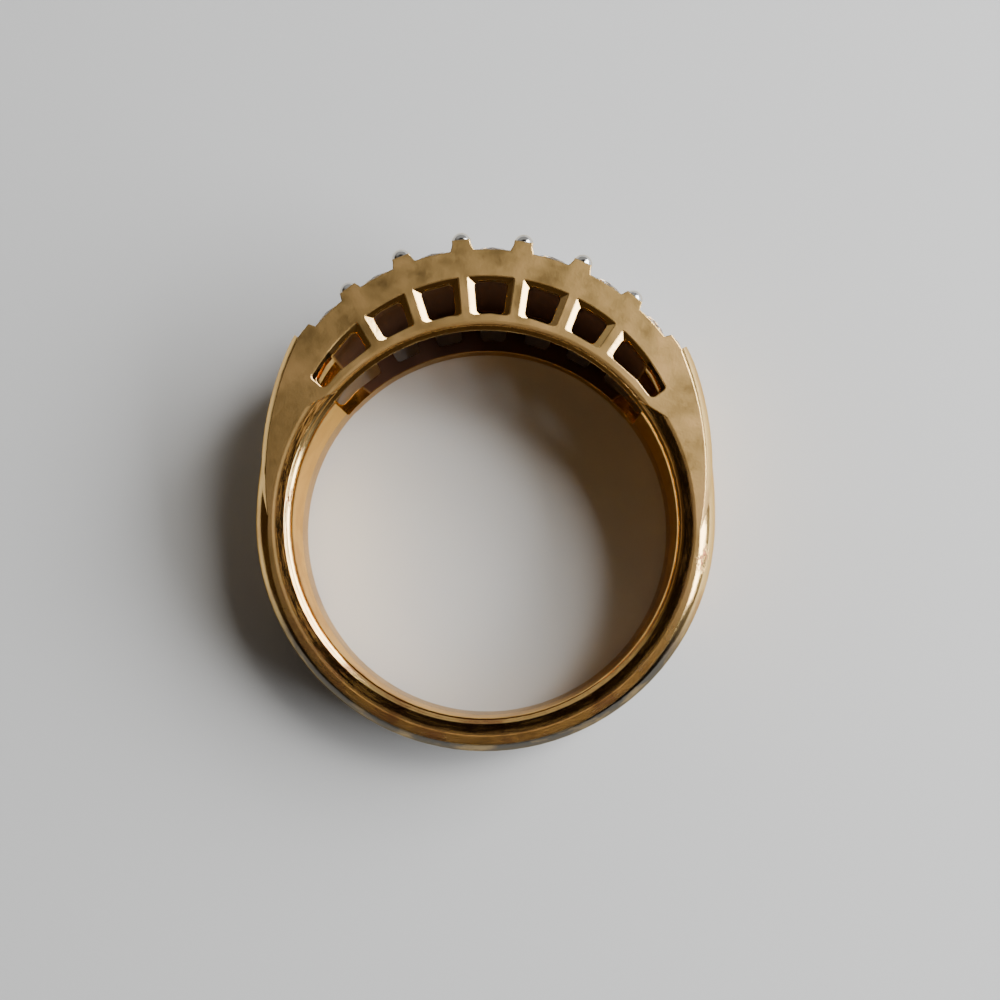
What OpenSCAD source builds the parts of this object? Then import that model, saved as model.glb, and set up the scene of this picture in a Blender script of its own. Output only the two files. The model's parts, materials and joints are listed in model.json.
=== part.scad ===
/* [Band] */
// Inside diameter of the ring, where the finger goes
bore_d = 17; // [15:0.1:17.5]
// Thickness of the band at the bottom of the ring, over the dome
band_t = 1.5; // [1.4:0.05:1.7]
// Width of the band at the bottom of the ring
base_w = 4.0; // [3.4:0.1:5]
// Radius of the dome across the outside of the band
dome_r = 4.2; // [3.8:0.1:6]
// Width of the bevel round the finger edge, on the side face
bevel_w = 0.62; // [0.4:0.02:0.7]
// Depth of that bevel into the bore
bevel_h = 0.1; // [0.08:0.02:0.2]
// Width of the steeper rim between the bevel and the bore
rim_w = 0.12; // [0.08:0.02:0.2]

/* [Head] */
// Width of the head at its top
head_w = 7.3; // [6.9:0.1:8]
// Height of the plate that the stones sit in, above the middle of the bore
head_h = 11.75; // [11.6:0.01:12]
// Radius of the arc that the plate follows
crown_r = 9.77; // [9.5:0.01:10]
// Thickness of each pierced side wall
wall_t = 1.0; // [0.7:0.05:1.1]
// Thickness of the plate
plate_t = 1.25; // [1.2:0.05:1.4]

/* [Windows] */
// Step from one window of the side wall to the next, in degrees about the bore
window_step = 13.1; // [12.5:0.1:13.5]
// Width of the bar between two windows, on the outer face
bar_w = 0.36; // [0.3:0.02:0.5]
// Width of that bar behind its sloping flanks
bar_root_w = 0.9; // [0.7:0.02:1]
// Height of the rail over the windows
top_rail = 1.08; // [0.96:0.02:1.3]
// Height of the thin rail under the windows
low_rail = 0.55; // [0.45:0.05:0.6]
// Height of the slope under the top rail
top_flank = 0.2; // [0.1:0.02:0.3]
// Radius of the windows' corners
window_corner = 0.22; // [0.1:0.02:0.3]

/* [Stones] */
// Step from one stone to the next, in degrees about the centre of the plate's arc
stone_step = 15.15; // [14.9:0.05:15.3]
// Bare metal between the outer stones and the side of the head
stone_rim = 0.15; // [0.1:0.05:0.3]
// Gap between one row of stones and the next
row_gap = 0.2; // [0.14:0.02:0.3]
// Clearance between a stone and its seat
seat_gap = 0.05; // [0.03:0.01:0.08]

/* [Claws] */
// Radius of a claw's stem
claw_r = 0.41; // [0.3:0.01:0.45]
// Radius of a claw's foot, where it rises from the plate
claw_foot_r = 0.52; // [0.46:0.02:0.6]
// Height of the middle claws above the plate
claw_h = 0.88; // [0.6:0.02:1]
// Height of the claws at the ends of the head
claw_end_h = 0.42; // [0.3:0.02:0.6]

/* [Hidden] */
$fn = 96;
round_fn = 180;
claw_fn = 32;
corner_fn = 32;
seat_fn = 48;
far = 30;
slice_step = 30;
bore_r = bore_d / 2;
crown_y = head_h - crown_r;
// The outside of the band is a circle set a little towards the head, so the band is thinnest at the bottom.
band_y = 0.33;
band_r = bore_r + band_t + band_y;
// The side faces are flat and lean together from the head to the bottom of the ring.
taper = (head_w - base_w) / 2 / (head_h + bore_r + band_t);
tilt = atan(taper);

// A shoulder is two domed bars. The lower one runs on from the band with the same dome. The flare above
// it has a flatter dome, and its crest is rounded over towards the head.
shoulder_root = 90;
shoulder_top = 48;
shoulder_r = 22;
flare_r = 14;
flare_dome_r = 6.8;
flare_sink = 0.2;
flare_y = 2.6;
flare_root = 107;
flare_top = 60;
round_r = 7.15;
round_sink = 0.13;
round_y = 3.56;
round_from = 4.3;
bar_depth = 5;
flare_side = 0.2;

// The bevel runs out to a point at each end, along two lines that meet above the bore.
bevel_top_y = 9.27;
bevel_spread = 120;
// Half the width under the middle of the head that it leaves out.
bevel_gap = 4;
// The thin bevel that goes on under the head.
head_bevel_w = 0.24;
head_rim_w = 0.04;

// Where things end, in degrees from the top.
plate_end = 60;
hollow_end = 52.5;
window_end = 51.5;
// How deep the bars' flanks are. The slope under the top rail is as steep.
flank_h = 0.15;
// The cut of the flanks goes deeper than they need, and a little past the windows' own outline.
flank_cut = 0.4;
flank_over = 0.04;

row_names = ["front", "middle", "back"];
stones_along = 7;
claws_along = stones_along + 1;
claw_foot_h = 0.3;
claw_sink = 0.02;
// From the middle of an outer claw's stem to its flat front, and how far its tip stands behind that.
claw_front_r = 0.12;
claw_tip_back = 0.02;

// The cut of a stone, as shares of its radius, but for the girdle's thickness and its depth in the plate.
girdle_t = 0.06;
girdle_sink = 0.06;
table_share = 0.57;
star_share = 0.78;
lower_share = 0.24;
crown_share = 0.3;
pavilion_share = 0.86;
facets = 8;
// A seat has a small flat at its bottom, and its cut runs out over the plate.
seat_foot_r = 0.1;
seat_clear = 2;

function half_w(y) = head_w / 2 - taper * (head_h - y);
function polar(r, a) = [r * sin(a), r * cos(a)];
function stone_angle(k) = (k - (stones_along + 1) / 2) * stone_step;
function claw_angle(k) = (k - (claws_along + 1) / 2) * stone_step;
function plate_half_w(a) = half_w(crown_y + crown_r * cos(a));
function stone_r(a) = (plate_half_w(a) - stone_rim - row_gap) / len(row_names);
function row_pitch(a) = 2 * stone_r(a) + row_gap;
function claw_rise(a) = claw_end_h + (claw_h - claw_end_h) * cos(a * 90 / claw_angle(claws_along));
function stone_name(row, k) = str("stone_", row_names[row], "_", k);

// A pie slice between two angles from the top of the ring.
module slice(from, to) {
    steps = ceil((to - from) / slice_step);
    polygon(concat([[0, 0]], [for (i = [0:steps]) polar(far, from + (to - from) * i / steps)]));
}

module tall() {
    linear_extrude(height = 2 * far, center = true)
        children();
}

// Everything between the two leaning side faces, drawn in by inset on each side.
module between_sides(inset = 0) {
    low = half_w(-far) - inset;
    high = half_w(far) - inset;
    rotate([90, 0, 90])
        tall()
            polygon([[-far, -low], [far, -high], [far, high], [-far, low]]);
}

// Places its children on the plate's arc, with their Z pointing outwards.
module on_plate(a, z) {
    translate([0, crown_y, z])
        rotate([0, 0, 90 - a])
            rotate([0, 90, 0])
                children();
}

// A domed bar bent about a centre, between two angles from the top there. Its crest has the radius r.
module domed_bar(centre, r, dome, from, to, side = 0) {
    translate(centre)
        rotate([0, 0, 90 - to])
            rotate_extrude(angle = to - from)
                intersection() {
                    translate([r - dome, 0])
                        circle(r = dome);
                    translate([r - bar_depth, -head_w / 2 - side])
                        square([2 * bar_depth, head_w + 2 * side]);
                }
}

module lower_band() {
    domed_bar([0, band_y], band_r, dome_r, shoulder_root, 360 - shoulder_root);
}

// The shoulder on the right.
module shoulder() {
    intersection() {
        union() {
            domed_bar([band_r - shoulder_r, band_y], shoulder_r, dome_r, flare_top, shoulder_root);
            domed_bar([band_r - flare_sink - flare_r, flare_y], flare_r, flare_dome_r, flare_top, flare_root,
                      flare_side);
        }
        tall()
            intersection() {
                translate([0, band_y])
                    slice(shoulder_top, 2 * shoulder_root);
                union() {
                    translate([band_r - round_sink - round_r, round_y])
                        circle(r = round_r);
                    translate([0, round_from - far])
                        square(far);
                }
            }
    }
}

module plate_block() {
    translate([0, crown_y])
        intersection() {
            cylinder(h = 2 * far, r = crown_r, center = true, $fn = round_fn);
            tall()
                slice(-plate_end, plate_end);
        }
}

module claw_stem(a, z) {
    on_plate(a, z)
        translate([0, 0, crown_r - plate_t / 2])
            cylinder(h = plate_t / 2 + claw_rise(a) - claw_r, r = claw_r, $fn = claw_fn);
}

module claw_tip(a, z) {
    on_plate(a, z)
        translate([0, 0, crown_r + claw_rise(a) - claw_r])
            sphere(r = claw_r, $fn = claw_fn);
}

module claw_foot(a, z) {
    on_plate(a, z)
        translate([0, 0, crown_r - claw_sink])
            cylinder(h = claw_foot_h, r1 = claw_foot_r, r2 = claw_r, $fn = claw_fn);
}

// An inner claw is all round. An outer one has a stem that the side face cuts flat, under a round tip.
module claws() {
    for (k = [1:claws_along], side = [-1, 1]) {
        a = claw_angle(k);
        inner = side * row_pitch(a) / 2;
        edge = plate_half_w(a);
        claw_stem(a, inner);
        claw_tip(a, inner);
        claw_foot(a, inner);
        claw_stem(a, side * (edge - claw_front_r));
        claw_foot(a, side * (edge - claw_front_r));
        claw_tip(a, side * (edge - claw_r - claw_tip_back));
    }
}

// The open space under the plate, between the two side walls.
module head_hollow() {
    intersection() {
        between_sides(wall_t);
        translate([0, crown_y])
            cylinder(h = 2 * far, r = crown_r - plate_t, center = true, $fn = round_fn);
        tall()
            slice(-hollow_end, hollow_end);
    }
}

// The seven windows, between bars of a width and under a rail of a height.
module window_shapes(bar, rail) {
    difference() {
        intersection() {
            translate([0, crown_y])
                circle(r = crown_r - rail);
            slice(-window_end, window_end);
        }
        circle(r = bore_r + low_rail);
        for (k = [1:stones_along - 1])
            rotate(-(k - stones_along / 2) * window_step)
                translate([-bar / 2, 0])
                    square([bar, far]);
    }
}

module rounded(over = 0) {
    offset(r = window_corner + over, $fn = corner_fn)
        offset(delta = -window_corner)
            children();
}

module windows() {
    tall()
        rounded()
            window_shapes(bar_root_w, top_rail + top_flank);
}

// Places its children on a side face, with their Z pointing outwards.
module on_side(side) {
    mirror([0, 0, side])
        translate([0, 0, half_w(0)])
            rotate([tilt, 0, 0])
                children();
}

// What the windows gain towards the outer face, where their bars and the rail over them slope in.
module window_flanks(side) {
    spread = (bar_root_w - bar_w) / 2 / flank_h;
    root = bar_w / 2 + flank_cut * spread;
    difference() {
        intersection() {
            tall()
                rounded(flank_over)
                    window_shapes(bar_w, top_rail);
            on_side(side)
                translate([0, crown_y, -flank_cut])
                    cylinder(h = 2 * flank_cut, r1 = crown_r - top_rail - flank_cut * spread,
                             r2 = crown_r - top_rail + flank_cut * spread, $fn = round_fn);
        }
        for (k = [1:stones_along - 1])
            on_side(side)
                rotate([90, 0, -(k - stones_along / 2) * window_step])
                    translate([0, 0, -far])
                        linear_extrude(height = far - bore_r)
                            polygon([[-root, -flank_cut], [root, -flank_cut], [bar_w / 2, 0], [bar_w / 2, far],
                                     [-bar_w / 2, far], [-bar_w / 2, 0]]);
    }
}

// A stone's seat is a cone under the stone and a straight wall round it, closed at the back.
module seat(a, row) {
    r = stone_r(a) + seat_gap;
    girdle = crown_r - girdle_sink - girdle_t;
    low = girdle - stone_r(a) * pavilion_share - seat_gap;
    high = crown_r + seat_clear;
    on_plate(a, (1 - row) * row_pitch(a))
        rotate_extrude($fn = seat_fn)
            polygon([[0, low], [seat_foot_r, low], [r, girdle], [r, high], [0, high]]);
}

// A bevel is turned about an axis square to the leaning side face. Its rim falls at 45 degrees to the bore.
module bevel_cut(w, h, rim) {
    bottom = -h - 2 * rim;
    rotate_extrude($fn = round_fn)
        polygon([[0, bottom], [bore_r - rim, bottom], [bore_r + rim, -h], [bore_r + 2 * w - rim, h], [0, h]]);
}

// The bevel round the finger edge runs out short of the head, and a thin one goes on from there.
module finger_bevel() {
    for (side = [0, 1]) {
        on_side(side)
            bevel_cut(head_bevel_w, head_bevel_w * bevel_h / bevel_w, head_rim_w);
        intersection() {
            on_side(side)
                bevel_cut(bevel_w, bevel_h, rim_w);
            tall()
                difference() {
                    translate([0, bevel_top_y])
                        slice(bevel_spread, 360 - bevel_spread);
                    translate([-bevel_gap, 0])
                        square([2 * bevel_gap, far]);
                }
        }
    }
}

module ring_body() {
    color("goldenrod")
        rotate([tilt, 0, 0])
            difference() {
                intersection() {
                    union() {
                        lower_band();
                        shoulder();
                        mirror([1, 0, 0])
                            shoulder();
                        plate_block();
                        claws();
                    }
                    between_sides();
                }
                cylinder(h = 2 * far, r = bore_r, center = true, $fn = round_fn);
                finger_bevel();
                head_hollow();
                windows();
                for (side = [0, 1])
                    window_flanks(side);
                for (row = [0:2], k = [1:stones_along])
                    seat(stone_angle(k), row);
            }
}

// A round stone, cut with a table, star and kite facets above the girdle and main facets below it.
// Its girdle lies at Z = 0.
module cut_stone(r) {
    step = 360 / facets;
    table_r = r * table_share;
    star_r = r * star_share;
    lower_r = r * lower_share;
    crown_h = r * crown_share;
    pavilion_h = r * pavilion_share;
    star_h = crown_h * (1 - (star_r * cos(step / 2) - table_r) / (r - table_r));
    lower_h = pavilion_h * (1 - lower_r * cos(step / 2) / r);
    table = [for (i = [0:facets - 1]) [table_r * cos(i * step), table_r * sin(i * step), girdle_t + crown_h]];
    stars = [for (i = [0:facets - 1]) let (a = (i + 0.5) * step)
        [star_r * cos(a), star_r * sin(a), girdle_t + star_h]];
    top = [for (i = [0:2 * facets - 1]) let (a = i * step / 2) [r * cos(a), r * sin(a), girdle_t]];
    bottom = [for (p = top) [p[0], p[1], 0]];
    lowers = [for (i = [0:facets - 1]) let (a = (i + 0.5) * step)
        [lower_r * cos(a), lower_r * sin(a), -lower_h]];
    S = facets;
    T = 2 * facets;
    B = 4 * facets;
    L = 6 * facets;
    culet = 7 * facets;
    function next(i, n) = (i + 1) % n;
    polyhedron(
        points = concat(table, stars, top, bottom, lowers, [[0, 0, -pavilion_h]]),
        faces = concat(
            [[for (i = [facets - 1:-1:0]) i]],
            [for (i = [0:facets - 1]) [i, next(i, facets), S + i]],
            [for (i = [0:facets - 1]) [i, S + i, T + 2 * i]],
            [for (i = [0:facets - 1]) [i, T + 2 * i, S + (i + facets - 1) % facets]],
            [for (i = [0:facets - 1]) [S + i, T + 2 * i + 1, T + 2 * i]],
            [for (i = [0:facets - 1]) [S + i, T + next(2 * i + 1, 2 * facets), T + 2 * i + 1]],
            [for (i = [0:2 * facets - 1]) [T + i, T + next(i, 2 * facets), B + next(i, 2 * facets), B + i]],
            [for (i = [0:facets - 1]) [B + 2 * i, B + 2 * i + 1, L + i]],
            [for (i = [0:facets - 1]) [B + 2 * i + 1, B + next(2 * i + 1, 2 * facets), L + i]],
            [for (i = [0:facets - 1]) [culet, B + 2 * i, L + i]],
            [for (i = [0:facets - 1]) [culet, L + (i + facets - 1) % facets, B + 2 * i]]));
}

module stone(row, k) {
    a = stone_angle(k);
    color("aliceblue")
        rotate([tilt, 0, 0])
            on_plate(a, (1 - row) * row_pitch(a))
                translate([0, 0, crown_r - girdle_sink - girdle_t])
                    cut_stone(stone_r(a));
}

ring_body();
for (row = [0:2], k = [1:stones_along])
    stone(row, k);
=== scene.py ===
"""A gold-plated finger ring set with rhinestones: its finishes, and the stage that it is shown on.

The ring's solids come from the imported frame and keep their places. This file gives them their metal and
their crystal, and adds the floor, the lights and the photograph's camera.
"""

import json
import math

import bmesh
import bpy
from bpy.props import FloatProperty, PointerProperty, StringProperty
from bpy.types import Operator, Panel, PropertyGroup
from mathutils import Matrix, Vector


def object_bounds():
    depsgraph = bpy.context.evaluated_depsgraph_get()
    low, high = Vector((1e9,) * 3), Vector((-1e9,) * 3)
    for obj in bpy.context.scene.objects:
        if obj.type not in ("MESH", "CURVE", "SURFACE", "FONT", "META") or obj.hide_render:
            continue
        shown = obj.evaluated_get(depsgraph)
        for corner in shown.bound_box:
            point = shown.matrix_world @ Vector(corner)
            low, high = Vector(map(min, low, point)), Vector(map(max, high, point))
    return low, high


bl_info = {
    "name": "Rhinestone Ring",
    "version": (1, 0, 0),
    "blender": (4, 5, 0),
    "location": "View3D > Sidebar > Ring",
    "description": "Finishes and stage of a gold-plated ring with three rows of rhinestones",
    "category": "Object",
}

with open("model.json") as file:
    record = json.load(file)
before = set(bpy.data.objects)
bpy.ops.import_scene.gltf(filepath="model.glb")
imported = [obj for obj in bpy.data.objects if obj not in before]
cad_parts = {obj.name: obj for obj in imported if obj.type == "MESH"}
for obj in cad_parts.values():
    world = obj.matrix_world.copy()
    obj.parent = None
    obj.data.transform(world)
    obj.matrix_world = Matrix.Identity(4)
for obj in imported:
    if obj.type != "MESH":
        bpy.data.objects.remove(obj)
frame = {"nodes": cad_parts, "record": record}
CAD_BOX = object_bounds()
MM = 0.001

# The ring leans on its side face, so its own axis is turned by this angle about X.
BORE = next(m for m in frame["record"]["mounts"] if m["name"] == "finger_bore")
TILT = math.atan2(-BORE["axis"][1], BORE["axis"][2])

# Sizes of the ring in its own upright frame, in mm, as the solids have them.
BORE_R = BORE["dims"]["r_mm"]
BEVEL_W = 0.62
HEAD_W, HEAD_H = 7.3, 11.75
SIDE_FLAT = HEAD_W / 2 - math.tan(TILT) * HEAD_H

# The plate under the stones follows an arc: the height of its centre, the radius of its top and of its
# underside, and the angle from the arc's middle to each end.
CROWN_Y, CROWN_R = 1.98, 9.77
PLATE_UNDER = CROWN_R - 1.2
PLATE_END = math.radians(54)

# Where each finish lies, in mm: how deep the side face's own finish goes, how far in from that face the
# hollow's patina and painted shade start and are full, and the radius beyond which a point is on the outside
# of the band.
FACE_DEPTH = 0.04
HOLLOW_SHADE_START, HOLLOW_SHADE_FULL = 0.2, 0.45
HOLLOW_ROUGHNESS = 0.6
OUTSIDE_R = 9.3

# Heights on the ring, in mm. The gold is most worn up to WORN_Y and least from FRESH_Y on. Bare metal,
# darkened as painted shade, shows fully up to BARE_AND_SHADE_FULL_Y, and less and less from there to
# BARE_AND_SHADE_START_Y.
WORN_Y, FRESH_Y = -8, 4
BARE_AND_SHADE_FULL_Y, BARE_AND_SHADE_START_Y = -6, -2

# The wall of the bore rolls over towards its ends: the length of the roll in mm, the power that it curves
# by, and how far it drops for each mm of that length.
ROLL_LENGTH = 1.6
ROLL_POWER = 1.4
ROLL_DROP = 0.9

# Places where the plating is worn, in mm in the upright frame: the middle of each and its radius.
ROUGH_SPOTS = (
    ((9.7, -1.2, 2.4), 0.8),
    ((-8.45, 0.9, 2.3), 0.5),
)

# The floor's width and the lights, in metres: direction from the ring, distance, width, height and colour.
FLOOR_WIDTH = 1.2
LIGHTS = {
    "key": ((0.55, 0.28, 0.79), 0.3, 0.09, 0.09, "#FFFCF6"),
    "side": ((0.85, 0.16, 0.48), 0.25, 0.32, 0.14, "#FFFFFF"),
    "front": ((0.0, -0.21, 0.98), 0.3, 0.07, 0.07, "#FFE2C2"),
}

# The room's own colour, then its patches: the direction to each, the angles in degrees from there at which
# it starts and is full, and its colour.
ROOM_COLOUR = "#54442F"
ROOM_PATCHES = (
    ((0.85, 0.3, 0.35), 62, 20, "#DADDE0"),
    ((-0.2, 0.9, 0.4), 60, 20, "#DEDBD5"),
    ((0.0, 0.0, 1.0), 52, 34, "#1C140C"),
)

# The view matched to the photograph, nearly along the bore and from a little below the ring's middle: the
# rows of the camera's turn, each with its place in mm, and the width of its sensor in mm.
CAMERA_ROWS = (
    (0.99932, -0.03186, 0.01834, 1.5935),
    (0.03413, 0.98938, -0.14126, -6.1950),
    (-0.01364, 0.14179, 0.98980, 52.1838),
)
SENSOR_WIDTH = 36


class RingMetalSettings(PropertyGroup):
    """Colours and finish of the metal."""

    gold: StringProperty(
        name="Gold", description="Colour of the gold plating, as sRGB hex", default="#FFD68C"
    )
    glow: StringProperty(
        name="Glow", description="Colour of a grazing reflection in the gold, as sRGB hex", default="#F2D9A6"
    )
    tarnish: StringProperty(
        name="Tarnish", description="Colour of rubbed plating, as sRGB hex", default="#B07858"
    )
    # Metal where the plating is worn, darkened as painted shade of the shadow that it reflects.
    bare_and_shade: StringProperty(
        name="Bare metal",
        description="Colour of the metal where the plating is gone, as sRGB hex",
        default="#625F5A",
    )
    rhodium: StringProperty(
        name="Rhodium", description="Colour of the rhodium on the claws, as sRGB hex", default="#DCDDDD"
    )
    # The hollow's colour: patina, darkened further as painted shade of the hollow.
    patina_and_shade: StringProperty(
        name="Patina and shade", description="Colour of the hollow inside the head, as sRGB hex", default="#6C5144"
    )
    polish: FloatProperty(
        name="Polish",
        description="Roughness of the polished band",
        default=0.1,
        min=0,
        max=1,
        subtype="FACTOR",
    )
    satin: FloatProperty(
        name="Satin",
        description="Roughness of the satin side faces",
        default=0.38,
        min=0,
        max=1,
        subtype="FACTOR",
    )
    edge: FloatProperty(
        name="Edge",
        description="Radius of the edges that wear has rounded",
        default=0.06 * MM,
        unit="LENGTH",
    )


class RingStoneSettings(PropertyGroup):
    """Colour and clarity of the stones."""

    crystal: StringProperty(
        name="Crystal", description="Colour of the cut crystal, as sRGB hex", default="#F8FAFC"
    )
    ior: FloatProperty(
        name="IOR", description="Index of refraction of the crystal", default=1.6, min=1, max=2.6
    )


class RingStageSettings(PropertyGroup):
    """The floor, the lights and the camera."""

    floor: StringProperty(name="Floor", description="Colour of the floor, as sRGB hex", default="#D6D8DA")
    key_power: FloatProperty(
        name="Key light", description="Power of the main light", default=0.46, min=0, unit="POWER"
    )
    side_power: FloatProperty(
        name="Side light", description="Power of the low light on the right", default=1.5, min=0, unit="POWER"
    )
    front_power: FloatProperty(
        name="Front light",
        description="Power of the warm light behind the camera",
        default=0.013,
        min=0,
        unit="POWER",
    )
    room: FloatProperty(name="Room", description="Brightness of the room round the ring", default=0.5, min=0)
    lens: FloatProperty(
        name="Lens", description="Focal length on a 36 mm sensor", default=41.76, min=1, unit="CAMERA"
    )


def linear(hex_colour):
    """Turns an sRGB hex value into the linear colour that a socket takes."""
    parts = [int(hex_colour[i : i + 2], 16) / 255 for i in (1, 3, 5)]
    return [c / 12.92 if c <= 0.04045 else ((c + 0.055) / 1.055) ** 2.4 for c in parts] + [1.0]


def fill(tree, node, inputs):
    """Gives each named input a value, or a link from a socket or from a node's first output in use."""
    for name, value in inputs.items():
        if isinstance(value, bpy.types.Node):
            value = next(out for out in value.outputs if out.enabled)
        if isinstance(value, bpy.types.NodeSocket):
            tree.links.new(value, node.inputs[name])
        else:
            node.inputs[name].default_value = value


def add(tree, kind, inputs=None, **settings):
    """Adds a node with its own settings, and fills the inputs that are named."""
    node = tree.nodes.new(kind)
    for name, value in settings.items():
        setattr(node, name, value)
    fill(tree, node, inputs or {})
    return node


def new_material(name):
    """An empty node material with its shader and output, and the tree that they are in."""
    material = bpy.data.materials.new(name)
    material.use_nodes = True
    tree = material.node_tree
    tree.nodes.clear()
    shader = add(tree, "ShaderNodeBsdfPrincipled")
    add(tree, "ShaderNodeOutputMaterial", {"Surface": shader})
    return material, tree, shader


def ring_places(tree):
    """Where a point lies on the ring, in its own upright frame: Z along the bore, and Y up to the head."""
    place = add(tree, "ShaderNodeTexCoord").outputs["Object"]
    upright = add(
        tree, "ShaderNodeMapping", {"Vector": place, "Rotation": (-TILT, 0, 0)}, vector_type="POINT"
    )
    x, y, z = add(tree, "ShaderNodeSeparateXYZ", {"Vector": upright}).outputs
    from_bore = add(tree, "ShaderNodeCombineXYZ", {"X": x, "Y": y})
    radius = add(tree, "ShaderNodeVectorMath", {0: from_bore}, operation="LENGTH")

    # How far a point lies outside the leaning side face, which is at 0.
    across = add(tree, "ShaderNodeMath", {0: z}, operation="ABSOLUTE")
    face = add(
        tree, "ShaderNodeMath", {0: y, 1: math.tan(TILT), 2: SIDE_FLAT * MM}, operation="MULTIPLY_ADD"
    )
    beyond = add(tree, "ShaderNodeMath", {0: across, 1: face}, operation="SUBTRACT")
    side = add(
        tree,
        "ShaderNodeMapRange",
        {"Value": beyond, "From Min": -FACE_DEPTH * MM, "From Max": -FACE_DEPTH / 4 * MM},
        interpolation_type="SMOOTHSTEP",
    )
    off_side = add(tree, "ShaderNodeMath", {0: 1.0, 1: side}, operation="SUBTRACT")

    # Distance from the centre of the plate's arc, and whether a point lies within the plate's ends.
    rise = add(tree, "ShaderNodeMath", {0: y, 1: CROWN_Y * MM}, operation="SUBTRACT")
    from_crown = add(tree, "ShaderNodeCombineXYZ", {"X": x, "Y": rise})
    crown = add(tree, "ShaderNodeVectorMath", {0: from_crown}, operation="LENGTH")
    upward = add(tree, "ShaderNodeMath", {0: rise, 1: crown}, operation="DIVIDE")
    on_head = add(
        tree,
        "ShaderNodeMapRange",
        {"Value": upward, "From Min": math.cos(PLATE_END), "From Max": math.cos(PLATE_END) + 0.02},
    )
    return {
        "upright": upright,
        "x": x,
        "y": y,
        "z": z,
        "radius": radius,
        "beyond": beyond,
        "side": side,
        "off_side": off_side,
        "crown": crown,
        "on_head": on_head,
    }


def rhodium_mask(tree, at):
    """Covers the claws and the top of the plate, but not the side faces."""
    over_plate = add(
        tree,
        "ShaderNodeMapRange",
        {"Value": at["crown"], "From Min": (CROWN_R - 0.1) * MM, "From Max": (CROWN_R - 0.02) * MM},
    )
    topped = add(tree, "ShaderNodeMath", {0: over_plate, 1: at["on_head"]}, operation="MULTIPLY")
    return add(tree, "ShaderNodeMath", {0: topped, 1: at["off_side"]}, operation="MULTIPLY")


def patina_and_shade_mask(tree, at):
    """Covers the hollow of the head, for its patina and painted shade: under the plate, behind the side walls'
    faces, outside the bore.
    """
    deep = add(
        tree,
        "ShaderNodeMapRange",
        {
            "Value": at["beyond"],
            "From Min": -HOLLOW_SHADE_FULL * MM,
            "From Max": -HOLLOW_SHADE_START * MM,
            "To Min": 1.0,
            "To Max": 0.0,
        },
        interpolation_type="SMOOTHSTEP",
    )
    under_plate = add(
        tree,
        "ShaderNodeMapRange",
        {
            "Value": at["crown"],
            "From Min": (PLATE_UNDER + 0.01) * MM,
            "From Max": (PLATE_UNDER + 0.05) * MM,
            "To Min": 1.0,
            "To Max": 0.0,
        },
    )
    past_bore = add(
        tree,
        "ShaderNodeMapRange",
        {"Value": at["radius"], "From Min": (BORE_R + 0.01) * MM, "From Max": (BORE_R + 0.04) * MM},
    )
    hollow = deep
    for mask in (under_plate, past_bore, at["on_head"]):
        hollow = add(tree, "ShaderNodeMath", {0: hollow, 1: mask}, operation="MULTIPLY")
    return hollow


def wear_patterns(tree, at):
    """Scratches, grain, rubbed patches, dents and rough spots. Each has the size that it has on the ring."""
    # Polishing and wear run round the band, so the scratches follow the angle about the bore.
    angle = add(tree, "ShaderNodeMath", {0: at["x"], 1: at["y"]}, operation="ARCTAN2")
    turn = add(tree, "ShaderNodeMath", {0: angle, 1: BORE_R * MM}, operation="MULTIPLY")
    around = add(tree, "ShaderNodeCombineXYZ", {"X": turn, "Y": at["radius"], "Z": at["z"]})
    stretched = add(
        tree, "ShaderNodeMapping", {"Vector": around, "Scale": (0.08, 1, 1)}, vector_type="POINT"
    )
    # Scratches of about 0.05 mm, and a dozen times as long.
    scratches = add(
        tree,
        "ShaderNodeTexNoise",
        {"Vector": stretched, "Scale": 1 / (0.16 * MM), "Detail": 3.0, "Roughness": 0.65},
    )
    # Satin grain of about 0.06 mm, from a fine blasting.
    grain = add(
        tree, "ShaderNodeTexNoise", {"Vector": at["upright"], "Scale": 1 / (0.09 * MM), "Detail": 2.0}
    )
    # Slow changes of about 2 mm, where fingers have rubbed the plating.
    rubbed = add(
        tree,
        "ShaderNodeTexNoise",
        {"Vector": at["upright"], "Scale": 1 / (1.8 * MM), "Detail": 5.0, "Roughness": 0.62},
    )
    # Soft dents of about 0.7 mm, which make a polished surface look hand-worn.
    dents = add(
        tree, "ShaderNodeTexNoise", {"Vector": at["upright"], "Scale": 1 / (0.9 * MM), "Detail": 2.0}
    )

    # Rough spots, each a soft ball about its middle, which chips of about 0.2 mm break up.
    worn = 0.0
    for middle, size in ROUGH_SPOTS:
        distance = add(
            tree,
            "ShaderNodeVectorMath",
            {0: at["upright"], 1: [v * MM for v in middle]},
            operation="DISTANCE",
        )
        spot = add(
            tree,
            "ShaderNodeMapRange",
            {
                "Value": distance,
                "From Min": size * 0.4 * MM,
                "From Max": size * MM,
                "To Min": 1.0,
                "To Max": 0.0,
            },
            interpolation_type="SMOOTHSTEP",
        )
        worn = add(tree, "ShaderNodeMath", {0: worn, 1: spot}, operation="MAXIMUM")
    chips = add(
        tree,
        "ShaderNodeTexNoise",
        {"Vector": at["upright"], "Scale": 1 / (0.28 * MM), "Detail": 4.0, "Roughness": 0.7},
    )
    chipped = add(
        tree,
        "ShaderNodeMapRange",
        {"Value": chips, "From Min": 0.47, "From Max": 0.56},
        interpolation_type="SMOOTHSTEP",
    )
    worn = add(tree, "ShaderNodeMath", {0: worn, 1: chipped}, operation="MULTIPLY")
    return {
        "scratches": scratches,
        "grain": grain,
        "rubbed": rubbed,
        "dents": dents,
        "chips": chips,
        "worn": worn,
    }


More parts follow.
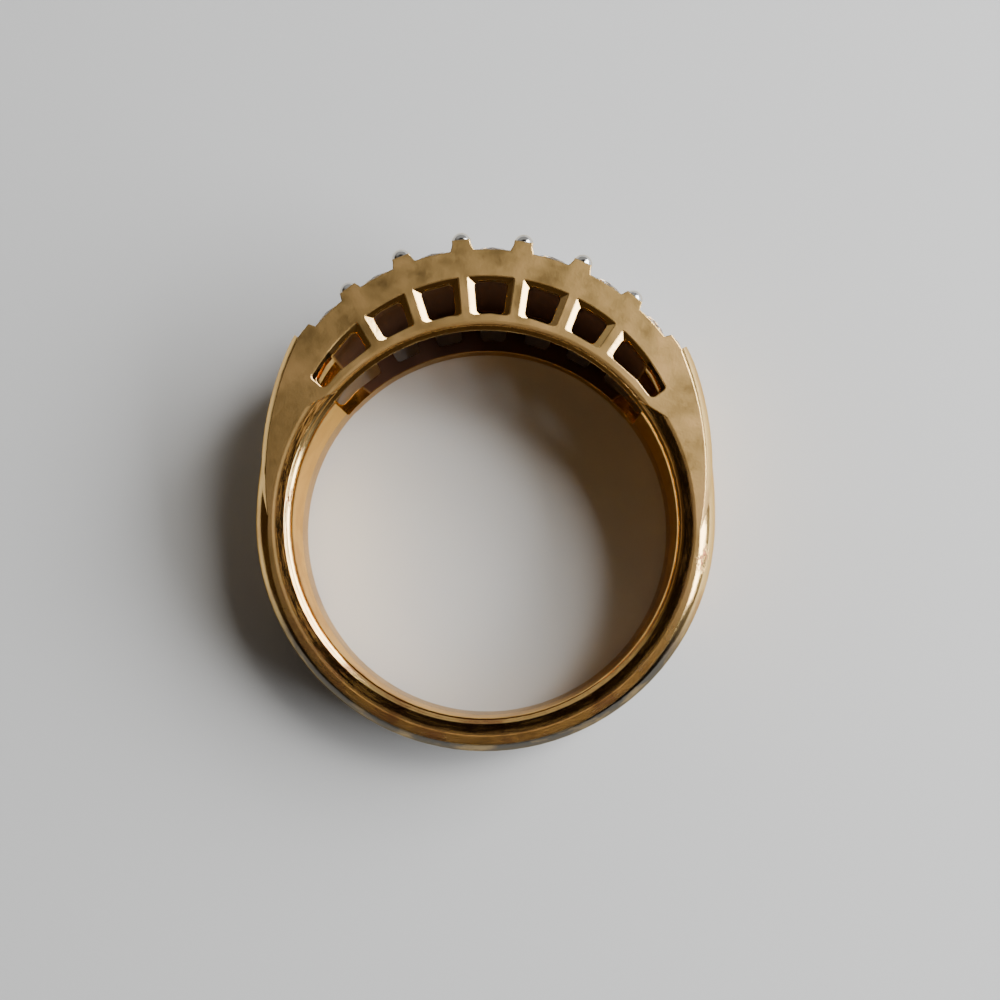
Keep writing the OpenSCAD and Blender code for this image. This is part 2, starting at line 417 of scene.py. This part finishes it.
def satin_mask(tree, at, rounded):
    """Satin at the head's sides, which fades to a soft polish at the bottom of the ring. Edges are bright."""
    # An edge is where the rounded normal turns away from the face's own.
    true_normal = add(tree, "ShaderNodeNewGeometry").outputs["True Normal"]
    flat = add(tree, "ShaderNodeVectorMath", {0: rounded, 1: true_normal}, operation="DOT_PRODUCT")
    edges = add(tree, "ShaderNodeMapRange", {"Value": flat, "From Min": 0.99, "From Max": 0.97})
    head = add(
        tree,
        "ShaderNodeMapRange",
        {"Value": at["y"], "From Min": WORN_Y * MM, "From Max": 0.0, "To Min": 0.45},
        interpolation_type="SMOOTHSTEP",
    )
    satin = add(tree, "ShaderNodeMath", {0: at["side"], 1: head}, operation="MULTIPLY")
    return add(tree, "ShaderNodeMath", {0: satin, 1: edges}, operation="SUBTRACT", use_clamp=True)


def plating_roughness(tree, settings, wear, satin, hollow):
    """Polished metal that scratches make duller, satin that rubbing changes, and a dull hollow."""
    scored = add(
        tree,
        "ShaderNodeMapRange",
        {
            "Value": wear["scratches"],
            "From Min": 0.5,
            "From Max": 0.75,
            "To Min": settings.polish,
            "To Max": settings.polish + 0.12,
        },
    )
    matte = add(
        tree,
        "ShaderNodeMapRange",
        {
            "Value": wear["rubbed"],
            "From Min": 0.35,
            "From Max": 0.65,
            "To Min": settings.satin - 0.08,
            "To Max": settings.satin + 0.08,
        },
    )
    roughness = add(tree, "ShaderNodeMix", {"Factor": satin, "A": scored, "B": matte}, data_type="FLOAT")
    return add(
        tree, "ShaderNodeMix", {"Factor": hollow, "A": roughness, "B": HOLLOW_ROUGHNESS}, data_type="FLOAT"
    )


def plating_colour(tree, settings, at, wear, white, hollow):
    """Gold that is redder where it is rubbed, with bare metal and rhodium in their places, and patina in the
    hollow. The bare metal and the patina are both darkened as painted shade.
    """
    # The plating is worn off the outside of the band, in patches, at the bottom of the ring. The metal under
    # it is darkened as painted shade of the shadow that it reflects.
    outside = add(
        tree,
        "ShaderNodeMapRange",
        {"Value": at["radius"], "From Min": OUTSIDE_R * MM, "From Max": (OUTSIDE_R + 0.2) * MM},
    )
    bottom = add(
        tree,
        "ShaderNodeMapRange",
        {
            "Value": at["y"],
            "From Min": BARE_AND_SHADE_FULL_Y * MM,
            "From Max": BARE_AND_SHADE_START_Y * MM,
            "To Min": 1.0,
            "To Max": 0.0,
        },
        interpolation_type="SMOOTHSTEP",
    )
    thin = add(
        tree,
        "ShaderNodeMapRange",
        {"Value": wear["rubbed"], "From Min": 0.36, "From Max": 0.5, "To Min": 0.75},
    )
    bared_and_shaded = outside
    for mask in (bottom, at["off_side"], thin):
        bared_and_shaded = add(tree, "ShaderNodeMath", {0: bared_and_shaded, 1: mask}, operation="MULTIPLY")

    # Rubbed patches are redder, most of all low on the ring.
    low = add(
        tree,
        "ShaderNodeMapRange",
        {
            "Value": at["y"],
            "From Min": WORN_Y * MM,
            "From Max": FRESH_Y * MM,
            "To Min": 0.75,
            "To Max": 0.25,
        },
    )
    patches = add(
        tree,
        "ShaderNodeMapRange",
        {"Value": wear["rubbed"], "From Min": 0.42, "From Max": 0.66},
        interpolation_type="SMOOTHSTEP",
    )
    reddish = add(tree, "ShaderNodeMath", {0: patches, 1: low}, operation="MULTIPLY")
    reddish = add(tree, "ShaderNodeMath", {0: reddish, 1: wear["worn"]}, operation="MAXIMUM")

    colour = linear(settings.gold)
    for share, tint in (
        (reddish, settings.tarnish),
        # Bare metal, darkened as painted shade.
        (bared_and_shaded, settings.bare_and_shade),
        (white, settings.rhodium),
        # Patina with painted shade in the hollow.
        (hollow, settings.patina_and_shade),
    ):
        colour = add(
            tree, "ShaderNodeMix", {"Factor": share, "A": colour, "B": linear(tint)}, data_type="RGBA"
        )
    return colour


def rolled_normal(tree, at, rounded):
    """Rolls the bore over towards its ends, where fingers have worn it, and the outside half as much."""
    in_bore = add(
        tree,
        "ShaderNodeMapRange",
        {
            "Value": at["radius"],
            "From Min": (BORE_R + 0.02) * MM,
            "From Max": (BORE_R + 0.03) * MM,
            "To Min": 1.0,
            "To Max": 0.0,
        },
    )
    past_bevel = add(
        tree,
        "ShaderNodeMapRange",
        {
            "Value": at["radius"],
            "From Min": (BORE_R + BEVEL_W + 0.02) * MM,
            "From Max": (BORE_R + BEVEL_W + 0.04) * MM,
            "To Max": 0.5,
        },
    )
    off_head = add(tree, "ShaderNodeMath", {0: 1.0, 1: at["on_head"]}, operation="SUBTRACT")
    outer = add(tree, "ShaderNodeMath", {0: past_bevel, 1: off_head}, operation="MULTIPLY")
    worn_wall = add(tree, "ShaderNodeMath", {0: in_bore, 1: outer}, operation="MAXIMUM")
    roll = add(
        tree, "ShaderNodeMapRange", {"Value": at["beyond"], "From Min": -ROLL_LENGTH * MM, "From Max": 0.0}
    )
    roll = add(tree, "ShaderNodeMath", {0: roll, 1: ROLL_POWER}, operation="POWER")
    roll = add(tree, "ShaderNodeMath", {0: roll, 1: -ROLL_DROP * ROLL_LENGTH}, operation="MULTIPLY")
    rolled = add(
        tree, "ShaderNodeBump", {"Height": roll, "Strength": 1.0, "Distance": MM, "Normal": rounded}
    )
    rolled = add(
        tree, "ShaderNodeMix", {"Factor": worn_wall, "A": rounded, "B": rolled}, data_type="VECTOR"
    )
    return add(tree, "ShaderNodeVectorMath", {0: rolled}, operation="NORMALIZE")


def fine_relief(tree, wear, satin, normal):
    """Dents, then scratches or grain, then broken chips, each laid on the one before."""
    fine = add(
        tree, "ShaderNodeMix", {"Factor": satin, "A": wear["scratches"], "B": wear["grain"]}, data_type="FLOAT"
    )
    broken = add(tree, "ShaderNodeMath", {0: wear["worn"], 1: wear["chips"]}, operation="MULTIPLY")
    for height, strength, depth in ((wear["dents"], 0.2, 0.03), (fine, 0.3, 0.012), (broken, 0.8, 0.05)):
        normal = add(
            tree,
            "ShaderNodeBump",
            {"Height": height, "Strength": strength, "Distance": depth * MM, "Normal": normal},
        )
    return normal


def gold_plate(settings):
    """Cast metal with polished yellow gold plating. The flat sides are satin, the claws' tips and the metal
    between the stones are white with rhodium, and the hollow in the head is dark with patina and painted
    shade. Wear gives it scratches round the band, rubbed patches and small dents."""
    material, tree, shader = new_material("plated_gold_polished_and_satin")
    at = ring_places(tree)
    wear = wear_patterns(tree, at)
    white = rhodium_mask(tree, at)
    # The hollow's mask carries its patina and painted shade.
    hollow = patina_and_shade_mask(tree, at)
    # Edges that wear has rounded catch the light.
    rounded = add(tree, "ShaderNodeBevel", {"Radius": settings.edge}, samples=6)
    satin = satin_mask(tree, at, rounded)
    fill(
        tree,
        shader,
        {
            "Metallic": 1.0,
            "Base Color": plating_colour(tree, settings, at, wear, white, hollow),
            "Roughness": plating_roughness(tree, settings, wear, satin, hollow),
            # At a grazing angle the wall of the bore stays golden.
            "Specular Tint": linear(settings.glow),
            "Normal": fine_relief(tree, wear, satin, rolled_normal(tree, at, rounded)),
        },
    )
    return material


def cut_crystal(settings):
    """Clear cut crystal with sharp polished facets, which break the light into dark and bright patches."""
    material, tree, shader = new_material("cut_crystal")
    place = add(tree, "ShaderNodeTexCoord").outputs["Object"]
    # A faint film of dust and skin oil, in patches of about 0.5 mm.
    film = add(tree, "ShaderNodeTexNoise", {"Vector": place, "Scale": 1 / (0.5 * MM), "Detail": 3.0})
    smeared = add(
        tree, "ShaderNodeMapRange", {"Value": film, "From Min": 0.45, "From Max": 0.8, "To Max": 0.08}
    )
    fill(
        tree,
        shader,
        {
            "Base Color": linear(settings.crystal),
            "Transmission Weight": 1.0,
            "IOR": settings.ior,
            "Roughness": smeared,
        },
    )
    return material


def matte_paper(settings):
    """Pale matte paper with a very faint fibre of about 0.5 mm."""
    material, tree, shader = new_material("matte_paper")
    place = add(tree, "ShaderNodeTexCoord").outputs["Object"]
    fibre = add(tree, "ShaderNodeTexNoise", {"Vector": place, "Scale": 1 / (0.5 * MM), "Detail": 5.0})
    bump = add(tree, "ShaderNodeBump", {"Height": fibre, "Strength": 0.1, "Distance": 0.05 * MM})
    fill(tree, shader, {"Base Color": linear(settings.floor), "Roughness": 0.9, "Normal": bump})
    return material


def level_floor(width, height, material):
    """A large square sheet, level at the given height."""
    mesh = bpy.data.meshes.new("floor")
    shape = bmesh.new()
    bmesh.ops.create_grid(shape, x_segments=1, y_segments=1, size=width / 2)
    bmesh.ops.translate(shape, vec=(0, 0, height), verts=shape.verts)
    shape.to_mesh(mesh)
    shape.free()
    mesh.materials.append(material)
    floor = bpy.data.objects.new("floor", mesh)
    bpy.context.scene.collection.objects.link(floor)
    return floor


def soft_light(name, power):
    """A rectangular area light of the list, in its place and turned to the ring."""
    direction, distance, width, height, colour = LIGHTS[name]
    data = bpy.data.lights.new(name, "AREA")
    data.shape = "RECTANGLE"
    data.size = width
    data.size_y = height
    data.energy = power
    data.color = linear(colour)[:3]
    light = bpy.data.objects.new(name, data)
    towards = Vector(direction).normalized()
    light.location = towards * distance
    light.rotation_euler = towards.to_track_quat("Z", "Y").to_euler()
    bpy.context.scene.collection.objects.link(light)


def soft_room(strength):
    """A room that is bright on the right, dim and warm on the left, and dark over the camera."""
    world = bpy.data.worlds.new("soft_room")
    world.use_nodes = True
    tree = world.node_tree
    tree.nodes.clear()
    direction = add(tree, "ShaderNodeTexCoord").outputs["Generated"]
    colour = linear(ROOM_COLOUR)
    for aim, start, full, tint in ROOM_PATCHES:
        reach = add(
            tree,
            "ShaderNodeVectorMath",
            {0: direction, 1: Vector(aim).normalized()},
            operation="DOT_PRODUCT",
        )
        share = add(
            tree,
            "ShaderNodeMapRange",
            {
                "Value": reach,
                "From Min": math.cos(math.radians(start)),
                "From Max": math.cos(math.radians(full)),
            },
            interpolation_type="SMOOTHSTEP",
        )
        colour = add(
            tree, "ShaderNodeMix", {"Factor": share, "A": colour, "B": linear(tint)}, data_type="RGBA"
        )
    sky = add(tree, "ShaderNodeBackground", {"Color": colour, "Strength": strength})
    add(tree, "ShaderNodeOutputWorld", {"Surface": sky})
    return world


def photo_camera(lens):
    """The camera that sees the ring as the photograph does."""
    camera = bpy.data.objects.new("camera", bpy.data.cameras.new("camera"))
    bpy.context.scene.collection.objects.link(camera)
    camera.data.sensor_width = SENSOR_WIDTH
    camera.data.lens = lens
    camera.data.clip_start = MM
    camera.data.clip_end = 10
    camera.matrix_world = Matrix([(*turn, place * MM) for *turn, place in CAMERA_ROWS] + [(0, 0, 0, 1)])
    return camera


class RING_OT_finish_metal(Operator):
    """Gives the cast ring its gold plating, satin sides and rhodium"""

    bl_idname = "ring.finish_metal"
    bl_label = "Finish Metal"

    def execute(self, context):
        body = frame["nodes"]["ring_body"]
        body.data.materials.clear()
        body.data.materials.append(gold_plate(context.scene.ring_metal))
        return {"FINISHED"}


class RING_OT_finish_stones(Operator):
    """Gives every stone its clear cut crystal"""

    bl_idname = "ring.finish_stones"
    bl_label = "Finish Stones"

    def execute(self, context):
        stones = [obj for name, obj in frame["nodes"].items() if name.startswith("stone_")]
        if not stones:
            raise RuntimeError("the frame has no stones")
        crystal = cut_crystal(context.scene.ring_stones)
        for stone in stones:
            stone.data.materials.clear()
            stone.data.materials.append(crystal)
        return {"FINISHED"}


class RING_OT_set_stage(Operator):
    """Sets the floor, the room, the lights and the camera"""

    bl_idname = "ring.set_stage"
    bl_label = "Set Stage"

    def execute(self, context):
        scene = context.scene
        settings = scene.ring_stage
        level_floor(FLOOR_WIDTH, CAD_BOX[0].z, matte_paper(settings))
        soft_light("key", settings.key_power)
        soft_light("side", settings.side_power)
        soft_light("front", settings.front_power)
        scene.world = soft_room(settings.room)
        scene.camera = photo_camera(settings.lens)
        return {"FINISHED"}


class RING_PT_panel(Panel):
    """The ring's settings and steps"""

    bl_label = "Rhinestone Ring"
    bl_idname = "RING_PT_panel"
    bl_space_type = "VIEW_3D"
    bl_region_type = "UI"
    bl_category = "Ring"

    def draw(self, context):
        for title, settings, step in (
            ("Metal", context.scene.ring_metal, RING_OT_finish_metal),
            ("Stones", context.scene.ring_stones, RING_OT_finish_stones),
            ("Stage", context.scene.ring_stage, RING_OT_set_stage),
        ):
            box = self.layout.box()
            box.label(text=title)
            for name in settings.__annotations__:
                box.prop(settings, name)
            box.operator(step.bl_idname)


CLASSES = (
    RingMetalSettings,
    RingStoneSettings,
    RingStageSettings,
    RING_OT_finish_metal,
    RING_OT_finish_stones,
    RING_OT_set_stage,
    RING_PT_panel,
)


def register():
    for cls in CLASSES:
        bpy.utils.register_class(cls)
    bpy.types.Scene.ring_metal = PointerProperty(type=RingMetalSettings)
    bpy.types.Scene.ring_stones = PointerProperty(type=RingStoneSettings)
    bpy.types.Scene.ring_stage = PointerProperty(type=RingStageSettings)


def unregister():
    del bpy.types.Scene.ring_stage
    del bpy.types.Scene.ring_stones
    del bpy.types.Scene.ring_metal
    for cls in reversed(CLASSES):
        bpy.utils.unregister_class(cls)


def main():
    register()
    bpy.ops.ring.finish_metal()
    bpy.ops.ring.finish_stones()
    bpy.ops.ring.set_stage()


if __name__ == "__main__":
    main()
